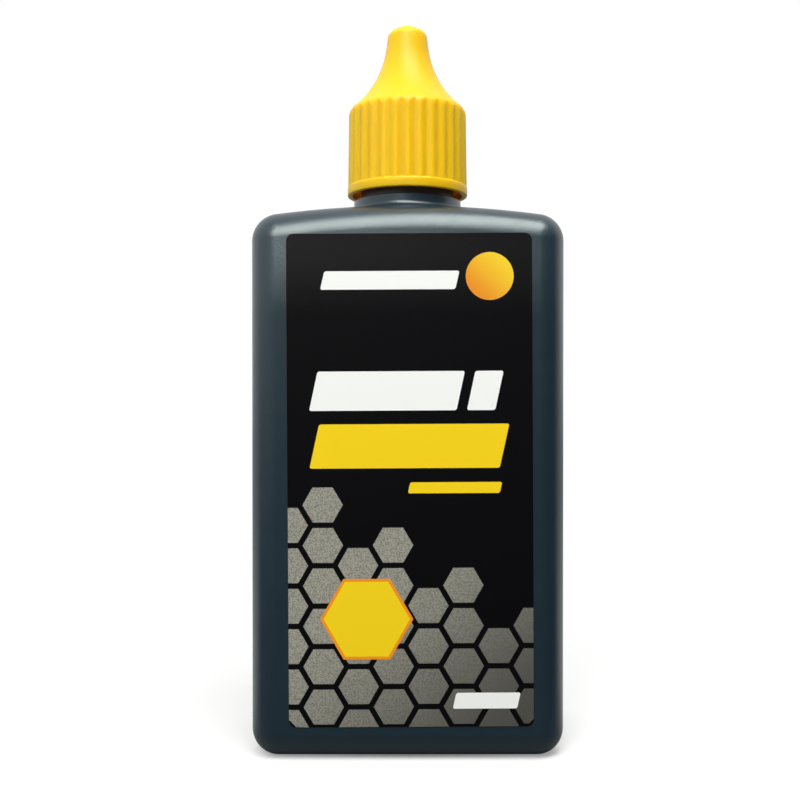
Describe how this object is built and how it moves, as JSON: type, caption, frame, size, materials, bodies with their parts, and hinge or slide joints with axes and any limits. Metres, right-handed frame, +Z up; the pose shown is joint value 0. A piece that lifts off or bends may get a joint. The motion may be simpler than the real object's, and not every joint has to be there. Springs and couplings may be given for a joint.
{
  "type": "chain lube bottle",
  "caption": "Flat blown oil bottle with rounded edges, a ribbed screw cap with a closed spire, a dropper insert in the neck and a film label on the front.",
  "frame": {"origin": "middle of the bottle's footprint, on the surface that it stands on", "axes": "+Z up along the neck, -Y towards the label face, +X to the right as the label is read; the cap is screwed down"},
  "size_m": [0.0518, 0.0281, 0.1246],
  "materials": {
    "bottle_hdpe": "satin, fine blow-moulded skin",
    "insert_ldpe": "natural, waxy",
    "cap_plastic": "satin, slightly translucent",
    "label_film": "printed film",
    "oil": "liquid"
  },
  "bodies": {
    "bottle": {"bottle": "bottle_hdpe", "front_label": "label_film", "oil_fill": "oil"},
    "insert": {"dropper_insert": "insert_ldpe"},
    "cap": {"cap": "cap_plastic"}
  },
  "joints": [
    {"name": "cap_turn", "type": "hinge", "parent": "bottle", "child": "insert", "pos_m": [0, 0, 0.108], "axis": [0, 0, 1], "range_deg": [0, 540]},
    {"name": "cap_rise", "type": "slide", "parent": "insert", "child": "cap", "axis": [0, 0, 1], "range_m": [0, 0.0048]}
  ],
  "couplings": [
    {"joint": "cap_rise", "follows": "cap_turn", "m_per_rad": 0.00050532}
  ]
}
